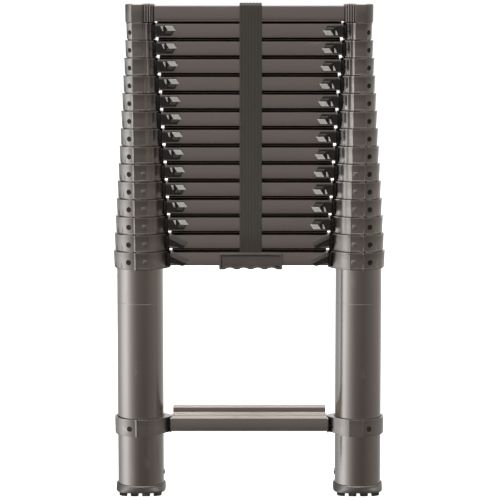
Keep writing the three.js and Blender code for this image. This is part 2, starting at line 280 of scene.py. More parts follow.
def rubberFinish(name):
    finish = Finish(name, {"Metallic": 0.0, "Specular IOR Level": 0.35})
    grain = finish.noise(rubber["grainScale"], detail=5.0)
    dust = finish.steps(finish.noise(rubber["dustScale"], detail=6.0), 0.5, 0.75)
    finish.feed("Base Color", finish.blend(dust * 0.5, rgba(rubber["colour"]), rgba(rubber["dustColour"])))
    finish.feed("Roughness", rubber["roughness"] + grain * 0.25)
    finish.bump(grain, 0.6, rubber["grainDepth"])
    return finish.material


webbing = {
    "colour": (0.068, 0.058, 0.046),
    "lightColour": (0.145, 0.126, 0.103),
    "pickPitch": 1.5 * mm,  # weft picks along the strap
    "warpPitch": 1.1 * mm,  # warp yarns across it
    "fuzzScale": 2600.0,
    "wearScale": 35.0,
}


def webbingFinish(name):
    # a plain narrow weave: warp yarns pass over and under the weft picks in turn
    finish = Finish(name, {"Metallic": 0.0, "Roughness": 0.85, "Sheen Weight": 0.1})
    x, y, z = finish.apart(finish.node("ShaderNodeTexCoord", out="Object"))
    warp = finish.maths("SINE", x * (math.pi / webbing["warpPitch"]))
    pick = finish.maths("SINE", (z + y) * (2 * math.pi / webbing["pickPitch"]))
    weave = 0.5 + 0.5 * (warp * pick)
    fuzz = finish.noise(webbing["fuzzScale"], detail=2.0)
    wear = finish.noise(webbing["wearScale"], (1, 1, 0.3), 5.0)
    tone = weave * 0.55 + fuzz * 0.25 + wear * 0.2
    colour = finish.blend(tone, rgba(webbing["colour"], 0.75), rgba(webbing["lightColour"], 0.8))
    finish.feed("Base Color", colour)
    finish.bump(weave + fuzz * 0.3, 0.7, 0.25 * mm)
    return finish.material


tubeBronze = anodisedFinish("tube_bronze", anodised["tubeColour"], anodised["tubeRoughness"], 2)
rungBronze = anodisedFinish("rung_bronze", anodised["rungColour"], anodised["rungRoughness"], 0)
castBronze = castFinish("cast_bronze", 1.0, cast["roughness"])
bootBronze = castFinish("boot_bronze", 0.64, 0.34)
blackPlastic = plasticFinish("black_plastic", (0.02, 0.018, 0.017), 0.36)
leverPlastic = plasticFinish("lever_plastic", (0.115, 0.1, 0.09), 0.34)
stepPlastic = plasticFinish("step_plastic", (0.07, 0.063, 0.056), 0.36)
padPlastic = plasticFinish("pad_plastic", (0.66, 0.64, 0.59), 0.4)
capBronze = castFinish("cap_bronze", 0.74, 0.3)
gripPlastic = plasticFinish("grip_plastic", (0.115, 0.099, 0.088), 0.38, 0.09 * mm)
soleRubber = rubberFinish("sole_rubber")
strapWeave = webbingFinish("strap_weave")
print("finishes made")


def loose(name, shape, weld=None):
    # an object with its faces pointing out; points nearer than weld become one
    verts, faces = shape
    mesh = bpy.data.meshes.new(name)
    mesh.from_pydata([tuple(v) for v in verts], [], faces)
    work = bmesh.new()
    work.from_mesh(mesh)
    if weld:
        bmesh.ops.remove_doubles(work, verts=work.verts, dist=weld)
        bmesh.ops.dissolve_degenerate(work, edges=work.edges, dist=weld)
    bmesh.ops.recalc_face_normals(work, faces=work.faces)
    work.to_mesh(mesh)
    work.free()
    made = bpy.data.objects.new(name, mesh)
    bpy.context.scene.collection.objects.link(made)
    return made


def piece(name, shape, body, nodes, material, smooth=35):
    made = loose(name, shape, 0.002 * mm)
    mesh = made.data
    mesh.polygons.foreach_set("use_smooth", [True] * len(mesh.polygons))
    mesh.set_sharp_from_angle(angle=math.radians(smooth))
    mesh.materials.append(material)
    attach(made, body)
    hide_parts(*nodes)
    return made


def rounded(made, width, segments=2, angle=40):
    bevel = made.modifiers.new("edges", "BEVEL")
    bevel.width = width
    bevel.segments = segments
    bevel.limit_method = "ANGLE"
    bevel.angle_limit = math.radians(angle)
    return made


def loft(rings, looped=False):
    # skins rings of equally many points; the ends are capped, or the last ring joins the first
    count = len(rings[0])
    verts = [point for ring in rings for point in ring]
    faces = []
    pairs = len(rings) if looped else len(rings) - 1
    for ring in range(pairs):
        here = ring * count
        there = (ring + 1) % len(rings) * count
        for i in range(count):
            j = (i + 1) % count
            faces.append((here + i, here + j, there + j, there + i))
    if not looped:
        faces.append(tuple(range(count - 1, -1, -1)))
        faces.append(tuple(range(len(verts) - count, len(verts))))
    return verts, faces


def together(*shapes):
    verts, faces = [], []
    for shapeVerts, shapeFaces in shapes:
        start = len(verts)
        verts += list(shapeVerts)
        faces += [tuple(start + i for i in face) for face in shapeFaces]
    return verts, faces


def turned(profile, basis, steps=32, looped=False):
    # revolves (radius, height) points round the local z of a placement matrix
    rings = []
    for radius, height in profile:
        ring = []
        for step in range(steps):
            angle = 2 * math.pi * step / steps
            ring.append(basis @ Vector((radius * math.cos(angle), radius * math.sin(angle), height)))
        rings.append(ring)
    return loft(rings, looped)


def pointing(origin, direction):
    # a placement whose local z runs along direction
    turn = Vector(direction).to_track_quat("Z", "Y").to_matrix().to_4x4()
    return Matrix.Translation(origin) @ turn


def carved(shape, tools):
    # the shape less its tools, through exact booleans on throwaway objects
    blank = loose("blank", shape)
    cutter = loose("cutter", together(*tools))
    cutting = blank.modifiers.new("cut", "BOOLEAN")
    cutting.operation = "DIFFERENCE"
    cutting.solver = "EXACT"
    cutting.object = cutter
    result = bpy.data.meshes.new_from_object(blank.evaluated_get(bpy.context.evaluated_depsgraph_get()))
    verts = [v.co.copy() for v in result.vertices]
    faces = [tuple(p.vertices) for p in result.polygons]
    for used in (blank, cutter):
        mesh = used.data
        bpy.data.objects.remove(used)
        bpy.data.meshes.remove(mesh)
    bpy.data.meshes.remove(result)
    return verts, faces


def grown(points, distance):
    # outline moved outward along its normals; points run anticlockwise
    count = len(points)
    moved = []
    for i, (u, v) in enumerate(points):
        before, after = points[i - 1], points[(i + 1) % count]
        along = Vector((after[0] - before[0], after[1] - before[1])).normalized()
        moved.append((u + along.y * distance, v - along.x * distance))
    return moved


tubes = {
    "wall": 1.4 * mm,
    "steps": 96,
    "lip": 0.4 * mm,  # broken edge at either end
    "tail": 40 * mm,  # below the locking hole
    "pinRise": 3 * mm,
    "holeRadius": 4.2 * mm,
    "grooveDrop": 78 * mm,  # fine turned line under the base collar
    "grooveDepth": 0.16 * mm,
    "drill": 8 * mm,
}


def tube(section, sideName):
    side = sides[sideName]
    radius = tubeRadius(section)
    middle = middleOf(section)
    bottom = middle - rungSpacing - tubes["tail"]
    top = middle + collarHeight / 2 - 0.9 * mm
    inner = radius - tubes["wall"]
    lip = tubes["lip"]
    outer = [(radius - lip, bottom), (radius, bottom + lip)]
    if section == 1:
        bottom = tubeLow.z
        groove = middle - tubes["grooveDrop"]
        outer = [(radius - lip, bottom), (radius, bottom + lip)]
        for drop, depth in ((-0.6, 0), (-0.3, 1), (0.3, 1), (0.6, 0)):
            outer.append((radius - tubes["grooveDepth"] * depth, groove + drop * mm))
    profile = outer + [(radius, top - lip), (radius - lip, top), (inner, top), (inner, bottom)]
    axis = Matrix.Translation((across(side, 0), 0, 0))
    shape = turned(profile, axis, tubes["steps"], looped=True)
    if section > 1:
        hole = middle + tubes["pinRise"] - rungSpacing
        start = Vector((across(side, radius - tubes["drill"] / 2), 0, hole))
        profile = [(tubes["holeRadius"], 0), (tubes["holeRadius"], tubes["drill"])]
        shape = carved(shape, [turned(profile, pointing(start, (-side, 0, 0)), 24)])
    name = f"tube_{section:02d}_{sideName}"
    nodes = [bodyOf(section)]
    if section == 1:
        nodes = [f"base_tube_{sideName}"]
    if section == sectionCount:
        nodes = [f"top_tube_{sideName}"]
    piece(name, shape, bodyOf(section), nodes, tubeBronze, 18)


for section in range(1, sectionCount + 1):
    for sideName in sides:
        tube(section, sideName)
print("tubes made")


collar = {
    "play": 0.03 * mm,  # round the tube
    "ringSteps": 40,
    "noseSteps": 18,
    "panelStart": (-5.0 * mm, -10.8 * mm),  # flat front panel, on the base and on the 14th collar
    "panelEnd": (16 * mm, 7.4 * mm),
    "panelProud": 0.5 * mm,
    "seamDepth": 0.9 * mm,
    "bead": (3.6 * mm, 1.7 * mm),  # width and rise of the bevel before the panel
    "oneFlute": 2,  # the lowest collars have one flute, the others two
    "capFlutes": 4,
    "fluteDepth": (0.8 * mm, 2.0 * mm),
    "frontChamfer": 0.3,  # of the bottom chamfer, across the front
    # the black ring of painted shade between stacked collars: its inner and outer offsets, its drop and rise
    "gapShadeInner": -4.4 * mm,
    "gapShadeOuter": -3.0 * mm,
    "gapShadeDrop": 0.15 * mm,
    "gapShadeRise": 0.75 * mm,
    "slotStart": 6.8 * mm,  # back from the nose's end
    "slotHeight": 24.6 * mm,
    "housingDepth": 19.4 * mm,  # half the black housing's depth
    "housingRib": (20.6 * mm, 0.9 * mm),  # half the depth and height of the rib round it
    "slotShrink": 0.76,
    "noseLift": (0.5 * mm, 2.0 * mm),  # the nose's underside above the ring's, base and 14th collar
    "holeAt": (-19.1 * mm, -15.7 * mm),
    "holeRadius": 5.1 * mm,
    "holeDrop": 1.75 * mm,
    "holeDepth": 3.4 * mm,
    "holeShrink": 0.86,  # of the 14th collar's hole
    # radius part and mm above the floor of the hole's plug
    "plug": ((0.99, 0.0), (0.8, 0.2), (0.45, 0.25), (0.35, -0.5), (0.05, -0.6)),
    "bossSections": 6,  # only the lower collars have the pad
    "bossAt": 14.5 * mm,
    "bossSize": 7.5 * mm,
    "bossProud": 0.7 * mm,
    # height above the collar's middle, as a part of its height, and how far the outline grows there
    "profile": (
        (-0.5, -2.8 * mm), (-0.44, -0.9 * mm), (-0.41, -0.6 * mm), (-0.4, -0.6 * mm),
        (0.0, -0.1 * mm), (0.38, 0.25 * mm), (0.43, 0.6 * mm), (0.49, 0.7 * mm), (0.5, 0.6 * mm),
    ),
    "slotParts": (-0.4, 0.38),  # where the slot's flanges begin, among those heights
}


cap = {
    # height as a part of the cap's, and how far the outline grows there
    "profile": ((0.0, -1.2 * mm), (0.045, -0.1 * mm), (0.5, 0.1 * mm), (0.93, 0.25 * mm), (0.975, -0.2 * mm),
                (1.0, -1.3 * mm)),
    "dish": 1.0 * mm,
    "corner": 8 * mm,
    "fluteEnd": 3.5 * mm,  # before the cap's inner end
    "core": 0.55,  # the hidden inside, as a part of the outline
    "dishParts": (0.86, 0.82),
}


def spread(section, pair):
    # a size that goes evenly from the base collar's to the 14th's
    return mixed(pair[0], pair[1], (section - 1) / (sectionCount - 2))


def hullOutline(ring, nose, centre):
    # front half of a ring drawn out to a rounded nose, from the outside to the nose's end
    turn = math.acos(max(-1.0, min(1.0, (ring - nose) / centre)))
    points = []
    for step in range(collar["ringSteps"] + 1):
        angle = mixed(math.pi, turn, step / collar["ringSteps"])
        points.append((ring * math.cos(angle), -ring * math.sin(angle)))
    for step in range(1, collar["noseSteps"] + 1):
        angle = mixed(turn, 0.0, step / collar["noseSteps"])
        points.append((centre + nose * math.cos(angle), -nose * math.sin(angle)))
    return points


def capHull(ring, end):
    # the cap's front half: round outside, flat in front, with one rounded corner
    corner = cap["corner"]
    points = []
    for step in range(collar["ringSteps"] // 2 + 1):
        angle = math.pi * (1 - step / collar["ringSteps"])
        points.append((ring * math.cos(angle), -ring * math.sin(angle)))
    for step in range(1, collar["noseSteps"] + 1):
        angle = math.pi / 2 * step / collar["noseSteps"]
        points.append((end - corner * (1 - math.sin(angle)), corner * (1 - math.cos(angle)) - ring))
    return points + [(end, 0.0)]


def depthAt(outline, inward):
    # y of the outline's front at a place along it
    for (u0, v0), (u1, v1) in zip(outline, outline[1:]):
        if u0 <= inward <= u1 and u1 > u0:
            return mixed(v0, v1, (inward - u0) / (u1 - u0))
    return outline[-1][1]


def collarOutline(section, fluted):
    # half outline with its facet, seam, flat panel, edge and flutes, as (inward, y) points
    radius = tubeRadius(section)
    ring = -halfSpacing - capLow.x if fluted else radius + collarWall
    end = radius + noseReach
    hull = capHull(ring, end) if fluted else hullOutline(ring, noseRadius, end - noseRadius)
    start = spread(section, collar["panelStart"])
    stop = spread(section, collar["panelEnd"])
    width, rise = collar["bead"]
    facet = start - width
    startDepth = -max(0.99 * ring, noseRadius - 1.2 * mm)
    stopDepth = depthAt(hull, stop) - collar["panelProud"]
    slot = end - collar["slotStart"]
    points = [p for p in hull if p[0] < facet - 0.4 * mm]
    foot = depthAt(hull, facet)
    seam = startDepth + collar["seamDepth"]
    points += [(facet, foot), (start - 1.1 * mm, foot - rise), (start - 0.8 * mm, foot - rise),
               (start - 0.7 * mm, seam), (start - 0.2 * mm, seam), (start, startDepth)]
    for step in range(1, 8):
        part = step / 8
        crown = -0.35 * mm * math.sin(math.pi * part)
        points.append((mixed(start, stop, part), mixed(startDepth, stopDepth, part) + crown))
    points.append((stop, stopDepth))
    points.append((stop + 0.3 * mm, depthAt(hull, stop + 0.3 * mm) + 0.6 * mm))
    flutes = 1 if section <= collar["oneFlute"] else 2
    last = slot
    if fluted:
        flutes = collar["capFlutes"]
        last = end - cap["fluteEnd"]
    first = stop + 1.2 * mm
    steps = 8 * flutes
    depth = spread(min(section, sectionCount - 1), collar["fluteDepth"])
    for step in range(steps + 1):
        inward = mixed(first, last, step / steps)
        dip = depth * 0.5 * (1 - math.cos(2 * math.pi * flutes * step / steps))
        points.append((inward, depthAt(hull, inward) + dip))
    points += [p for p in hull if p[0] > last + 0.5 * mm]
    return points


def collarGrown(outline, offset):
    # the bottom chamfer is wide at the collar's outer side and narrow across its front
    reach = -outline[0][0]
    full = grown(outline, offset)
    if offset > -0.5 * mm:
        return full
    points = []
    for here, there in zip(outline, full):
        part = mixed(collar["frontChamfer"], 1.0, max(0.0, -here[0] / reach) ** 2)
        points.append((mixed(here[0], there[0], part), mixed(here[1], there[1], part)))
    return points


def outlineNormal(outline, inward):
    before = depthAt(outline, inward - 1.5 * mm)
    after = depthAt(outline, inward + 1.5 * mm)
    return Vector((after - before, -3 * mm)).normalized()


def wholeOutline(half):
    # front half and its plainer mirror image behind
    return half + [(u, -v) for u, v in reversed(half[1:-1])]


def ringAt(outline, side, height, lift=0.0, beyond=0.0):
    # an outline at a height; what lies beyond a place on it is lifted
    points = []
    for inward, y in outline:
        raised = lift * min(1.0, max(0.0, (inward - beyond) / (2 * mm)))
        points.append(Vector((across(side, inward), y, height + raised)))
    return points


def recessed(points, slot):
    # the nose drawn in past the slot's start
    pivot = slot - 1 * mm
    shrunk = []
    for inward, y in points:
        if inward > slot + 0.2 * mm:
            inward = pivot + (inward - pivot) * collar["slotShrink"]
            y *= collar["slotShrink"]
        shrunk.append((inward, y))
    return shrunk


def circleOf(outline, radius):
    # as many points as the outline has, all at one distance from the stile's axis
    return [(u / math.hypot(u, v) * radius, v / math.hypot(u, v) * radius) for u, v in outline]


def collarShape(section, side, middle, height, slotStart, lift, taper=1.0, liftStart=None):
    end = tubeRadius(section) + noseReach
    outline = wholeOutline(collarOutline(section, False))
    slot = end - slotStart
    rise = end - liftStart if liftStart else slot
    lowFlange, highFlange = collar["slotParts"]
    loops = []
    for part, offset in collar["profile"]:
        line = collarGrown(outline, offset * taper)
        full = grown(outline, offset * taper)
        edge = middle + math.copysign(collar["slotHeight"] / 2, part)
        flange = [ringAt(full, side, edge), ringAt(recessed(full, slot), side, edge)]
        if part <= lowFlange:
            loops.append(ringAt(line, side, middle + part * height, lift, rise))
        elif part != highFlange:
            line = line if part > highFlange else recessed(line, slot)
            loops.append(ringAt(line, side, middle + part * height))
        if part == lowFlange:
            loops += flange
        elif part == highFlange:
            loops += reversed(flange)
    top = middle + height / 2
    bottom = middle - height / 2
    bore = tubeRadius(section) + collar["play"]
    lip = bore - tubes["wall"] if middle > fixedMiddle + stackPitch else bore
    inside = ((lip + 0.5 * mm, top - 0.1 * mm), (lip + 0.1 * mm, top - 0.6 * mm),
              (lip + 0.1 * mm, top - 0.8 * mm), (bore, top - 0.8 * mm),
              (bore, bottom + 0.5 * mm), (bore + 0.5 * mm, bottom))
    loops += [ringAt(circleOf(outline, radius), side, z) for radius, z in inside]
    return loft(loops, looped=True)


def rivetHole(section, side, middle):
    # drill and plug of the round hole in the collar's outer front
    outline = collarOutline(section, False)
    inward = spread(section, collar["holeAt"])
    normal = outlineNormal(outline, inward)
    spot = Vector((across(side, inward), depthAt(outline, inward), middle - collar["holeDrop"]))
    outwards = Vector((-side * normal.x, normal.y, 0))
    radius = collar["holeRadius"] * spread(section, (1.0, collar["holeShrink"]))
    seat = pointing(spot - outwards * collar["holeDepth"], outwards)
    drill = turned([(radius, 0), (radius, 2 * collar["holeDepth"])], seat, 28)
    floor = 0.7 * collar["holeDepth"]
    face = [(radius * part, floor + rise * mm) for part, rise in collar["plug"]]
    return drill, turned([(radius * 0.99, 0.1 * mm)] + face, seat, 28)


def boss(section, side, middle):
    # small square pad on the front panel
    outline = collarOutline(section, False)
    inward = min(collar["bossAt"], spread(section, collar["panelEnd"]) - 5 * mm)
    normal = outlineNormal(outline, inward)
    outwards = Vector((-side * normal.x, normal.y, 0))
    spot = Vector((across(side, inward), depthAt(outline, inward), middle - 1 * mm))
    sideways = Vector((-outwards.y, outwards.x, 0))
    half = collar["bossSize"] / 2
    rings = []
    for reach, shrink in ((-1.5 * mm, 1.0), (0.55 * collar["bossProud"], 1.0), (collar["bossProud"], 0.84)):
        ring = []
        for a, b in ((-1, -1), (-1, 1), (1, 1), (1, -1)):
            up = Vector((0, 0, b * half * shrink))
            ring.append(spot + outwards * reach + sideways * a * half * shrink + up)
        rings.append(ring)
    return loft(rings)


def housing(section, side, middle, slotStart):
    # black plastic inside the nose, seen through the slot, with one rib round it; its black is partly
    # painted shade that keeps the slot dark from either side
    end = tubeRadius(section) + noseReach
    slot = end - slotStart
    depth, half = collar["housingDepth"], collar["slotHeight"] / 2
    corners = ((-1, -0.9), (-0.96, -1), (0.96, -1), (1, -0.9), (1, 0.9), (0.96, 1), (-0.96, 1), (-1, 0.9))

    def slab(stops, corners, depth, half):
        rings = []
        for inward, part in stops:
            x = across(side, inward)
            rings.append([Vector((x, a * part * depth, middle + b * half)) for a, b in corners])
        return loft(rings)

    stops = ((slot + 0.2 * mm, 0.8), (slot + 1.2 * mm, 1.0), (end - 1.6 * mm, 1.0), (end - 0.4 * mm, 0.96))
    square = ((-1, -1), (1, -1), (1, 1), (-1, 1))
    ribStops = ((slot - 2 * mm, 1.0), (end - 3 * mm, 1.0))
    return together(slab(stops, corners, depth, half), slab(ribStops, square, *collar["housingRib"]))


def collarNodes(section, sideName):
    return [f"base_collar_{sideName}"] if section == 1 else [bodyOf(section)]


def makeGapShade(name, section, side, foot, body, nodes):
    # thin black ring, painted shade: it stands in for the shadow in the gap between two stacked collars, and
    # shows as a dark line there
    outline = wholeOutline(collarOutline(section, section == sectionCount))
    inner, outer = collar["gapShadeInner"], collar["gapShadeOuter"]
    low, high = foot - collar["gapShadeDrop"], foot + collar["gapShadeRise"]
    corners = ((high, inner), (low, inner), (low, outer), (high, outer))
    rings = [ringAt(gapShadeLine(outline, offset), side, z) for z, offset in corners]
    piece(name, loft(rings, looped=True), body, nodes, blackPlastic)


def gapShadeLine(outline, offset):
    # the outline moved inward, but hardly across the front, where the painted shade line shows
    reach = -outline[0][0]
    points = []
    for here, there in zip(outline, grown(outline, offset)):
        part = max(0.12, (-here[0] / reach + 0.35) / 1.35) if offset > collar["gapShadeInner"] else 1.0
        points.append((mixed(here[0], there[0], part), mixed(here[1], there[1], part)))
    return points


def makeCollar(section, sideName):
    side = sides[sideName]
    middle = middleOf(section)
    lift = spread(section, collar["noseLift"])
    shape = collarShape(section, side, middle, collarHeight, collar["slotStart"], lift)
    drill, plug = rivetHole(section, side, middle)
    shape = carved(shape, [drill])
    if section <= collar["bossSections"]:
        shape = together(shape, boss(section, side, middle))
    body, nodes = bodyOf(section), collarNodes(section, sideName)
    tag = f"{section:02d}_{sideName}"
    made = piece(f"collar_{tag}", shape, body, nodes, castBronze, 28)
    rounded(made, 0.25 * mm, 1, 50)
    inside = housing(section, side, middle, collar["slotStart"])
    piece(f"latch_housing_shade_{tag}", inside, body, nodes, blackPlastic)
    piece(f"hole_plug_{tag}", plug, body, nodes, blackPlastic)
    if section > 1:
        # black ring of painted shade under the collar, standing in for the gap's shadow
        makeGapShade(f"collar_gap_shade_{tag}", section, side, middle - collarHeight / 2, body, nodes)


bracket = {
    "slotStart": 3.6 * mm,
    "noseLift": 2.6 * mm,
    "liftStart": 22 * mm,  # back from the nose's end
    "taper": 0.35,
    "plate": 1.3 * mm,
    "plateDepth": 20.5 * mm,
    "plateHeight": 27.5 * mm,
    "plateCorner": 2.5 * mm,
}

# black ring of painted shade where the tube leaves a collar or boot: out from the tube and up from the
# collar's top, mm
tube_shade_ring = ((0.05, -1), (0.05, 0.9), (0.6, 0.9), (1.5, 0.25), (1.5, -1))



def makeTubeShadeRing(name, side, top, nodes):
    # black ring round the base tube where it comes out of a collar: painted shade, standing in for the
    # contact shadow in the gap there
    points = [(baseRadius + out * mm, top + rise * mm) for out, rise in tube_shade_ring]
    shape = turned(points, Matrix.Translation((across(side, 0), 0, 0)), 72, looped=True)
    piece(name, shape, "base", nodes, blackPlastic)


def bracketPlate():
    # the bracket's end plate, as a rounded (y, z) outline
    depth, half, corner = bracket["plateDepth"], bracket["plateHeight"] / 2, bracket["plateCorner"]
    points = []
    for a, b, first in ((1, -1, -90), (1, 1, 0), (-1, 1, 90), (-1, -1, 180)):
        for step in range(5):
            angle = math.radians(first + 90 * step / 4)
            points.append((a * (depth - corner) + corner * math.cos(angle),
                           b * (half - corner) + corner * math.sin(angle)))
    return points


def makeBracket(sideName):
    side = sides[sideName]
    height = bracketHigh.z - bracketLow.z
    middle = (bracketHigh.z + bracketLow.z) / 2
    shape = collarShape(1, side, middle, height, bracket["slotStart"], bracket["noseLift"],
                        bracket["taper"], bracket["liftStart"])
    drill, plug = rivetHole(1, side, middle)
    name = f"fixed_bracket_{sideName}"
    nodes = [name]
    made = piece(f"{name}_shell", carved(shape, [drill]), "base", nodes, castBronze, 28)
    rounded(made, 0.25 * mm, 1, 50)
    inside = housing(1, side, middle, bracket["slotStart"])
    # the black core is partly painted shade inside the slot
    piece(f"{name}_core_shade", inside, "base", nodes, blackPlastic)
    end = baseRadius + noseReach
    rings = []
    for inward in (end - bracket["plate"], end + 0.3 * mm):
        rings.append([Vector((across(side, inward), y, middle + z)) for y, z in bracketPlate()])
    piece(f"{name}_plate", loft(rings), "base", nodes, castBronze, 28)
    piece(f"{name}_plug", plug, "base", nodes, blackPlastic)
    makeTubeShadeRing(f"{name}_tube_shade_ring", side, bracketHigh.z, nodes)


def makeCap(sideName):
    side = sides[sideName]
    outline = wholeOutline(collarOutline(sectionCount, True))
    height = capHigh.z - capLow.z

    def shrunk(part, z):
        return ringAt([(u * part, v * part) for u, v in outline], side, z)

    rings = [shrunk(cap["core"], capLow.z + height * 0.5), shrunk(cap["core"], capLow.z)]
    for part, offset in cap["profile"]:
        rings.append(ringAt(grown(outline, offset), side, capLow.z + part * height))
    outer, inner = cap["dishParts"]
    rings += [shrunk(outer, capHigh.z), shrunk(inner, capHigh.z - cap["dish"])]
    nodes = [f"top_cap_{sideName}"]
    piece(f"cap_{sideName}", loft(rings), "top_section", nodes, capBronze, 28)
    makeGapShade(f"cap_gap_shade_{sideName}", sectionCount, side, capLow.z, "top_section", nodes)


for section in range(1, sectionCount):
    for sideName in sides:
        makeCollar(section, sideName)
for sideName in sides:
    makeBracket(sideName)
    makeCap(sideName)
print("collars, brackets and caps made")


rung = {
    "treadDepth": 30 * mm,
    "slope": math.tan(math.radians(10)),
    "riser": 9.3 * mm,
    "nest": 0.8 * mm,  # between one rung's rear and the next one's underside
    "ribPitch": 3.0 * mm,
    "ribHeight": 0.55 * mm,
    "trough": 2.2 * mm,
    "lipDrop": 3.2 * mm,  # the top rung's front edge hangs lower
    "lipThick": 3.4 * mm,
    "grooveRise": 0.4 * mm,  # fine line above that edge
    "grooveDepth": 0.8 * mm,
    "round": 0.9 * mm,
    "endShort": 0.1 * mm,  # the rung's end back from the collar's nose
    "treadShort": 2.6 * mm,
}


def ribbed(start, stop, trough=0.0):
    # fine rounded ribs on a straight run between two (y, z) points, with a wider trough in its middle
    run = Vector((stop[0] - start[0], stop[1] - start[1]))
    count = max(1, round(run.length / rung["ribPitch"]))
    up = Vector((-run.y, run.x)).normalized()
    points = []
    for i in range(count):
        for part, lift in ((0.0, 0.0), (0.22, 0.8), (0.5, 1.0), (0.78, 0.8)):
            rise = rung["ribHeight"] * lift
            if trough and i == count // 2:
                rise = -trough * min(1.0, lift * 1.4)
            at = Vector(start) + run * ((i + part) / count) + up * rise
            points.append((at.x, at.y))
    return points


def rungProfile(stepped):
    # (y, z) outline about the rung's middle, from the lower front edge over the top and back
    bottom = rungLow.z - baseMiddle
    top = topRungHigh.z - middleOf(sectionCount)
    soft, groove = rung["round"], bottom + rung["grooveRise"]
    riser = rungFront + rung["treadDepth"]
    tread = top + rung["treadDepth"] * rung["slope"]
    rearTop = tread + rung["riser"]
    back = rearTop + (rungBack - riser) * rung["slope"]
    step = riser - rung["nest"]
    drop = stackPitch - rung["nest"]
    points = [(rungFront + 0.5 * soft, bottom), (rungFront, bottom + 0.5 * soft)]
    if not stepped:
        lip, inner = bottom - rung["lipDrop"], rungFront + rung["lipThick"]
        floor = rungFront + rung["grooveDepth"]
        points = [(inner, bottom), (inner, lip + 0.4 * mm), (inner - 0.4 * mm, lip),
                  (rungFront + 1.1 * mm, lip), (rungFront, lip + 1.1 * mm), (rungFront, groove - 0.7 * mm),
                  (floor, groove - 0.3 * mm), (floor, groove + 0.1 * mm), (rungFront, groove + 0.6 * mm)]
    points += [(rungFront, top - soft), (rungFront + 0.3 * soft, top - 0.3 * soft), (rungFront + soft, top)]
    rearStart, rearEnd = (rungFront + soft, top), top
    if stepped:
        points += ribbed(rearStart, (riser - soft, tread), rung["trough"])
        points += [(riser - 0.6 * mm, tread), (riser, tread + 0.6 * mm), (riser, rearTop - soft)]
        points += [(riser + 0.3 * soft, rearTop - 0.3 * soft), (riser + soft, rearTop)]
        rearStart, rearEnd = (riser + soft, rearTop), back
    points += ribbed(rearStart, (rungBack - soft, rearEnd))
    points += [(rungBack - soft, rearEnd), (rungBack - 0.3 * soft, rearEnd - 0.3 * soft)]
    points.append((rungBack, rearEnd - soft))
    rear = rearTop - drop
    points += [(rungBack, rear + (rungBack - riser) * rung["slope"]),
               (step, rear + (step - riser) * rung["slope"]),
               (step, bottom + (step - rungFront) * rung["slope"])]
    return points, top


def makeRung(name, section, middle, body, nodes, stepped=True):
    end = halfSpacing - tubeRadius(section) - noseReach
    profile, top = rungProfile(stepped)
    level = [(y, min(z, top)) for y, z in profile]
    stops = [(-end - rung["endShort"], level), (-end + rung["treadShort"], level)]
    if stepped:
        stops.append((-end + rung["treadShort"], profile))
    stops += [(-x, line) for x, line in reversed(stops)]
    rings = [[Vector((x, y, middle + z)) for y, z in line] for x, line in stops]
    piece(name, loft(rings), body, nodes, rungBronze, 30)


makeRung("rung_01", 1, baseMiddle, "base", ["base_rung"])
makeRung("rung_fixed", 1, fixedMiddle, "base", ["fixed_rung"])
for section in range(2, sectionCount):
    makeRung(f"rung_{section:02d}", section, middleOf(section), bodyOf(section), [bodyOf(section)])
makeRung("rung_15", sectionCount, middleOf(sectionCount), "top_section", ["top_rung"], stepped=False)
print("rungs made")


slide = {
    "length": 35.4 * mm,
    "height": 18.8 * mm,
    "rise": 2.2 * mm,
    "start": -0.4 * mm,
    "thick": 5.2 * mm,
    "padStart": 17.5 * mm,
    "padLength": 14 * mm,
    "padLean": 5.5 * mm,
    "padHeight": 8.8 * mm,
    "padProud": 2.4 * mm,
    "ridges": ((9.0, 3.4, 7.6), (12.2, 2.6, 3.4)),  # start, width and lean, mm
    "crest": (9.2 * mm, 5.6 * mm),  # start and width
    "step": (16.5 * mm, 29 * mm, 19.5 * mm),  # lower start and end, upper start
}


def frontPlate(outline, place, stops):
    # an outline carried forward from the rung's face, shrinking as it goes: (depth, inset) stops
    rings = []
    for depth, inset in stops:
        rings.append([place(u, v, depth) for u, v in grown(outline, -inset)])
    return loft(rings)


def latchPlace(section, side, flip):
    nose = tubeRadius(section) + noseReach
    middle = middleOf(section) + slide["rise"]

    def place(u, v, depth):
        up = -v if flip else v
        return Vector((across(side, nose + u), rungFront - depth, middle + up))

    return place


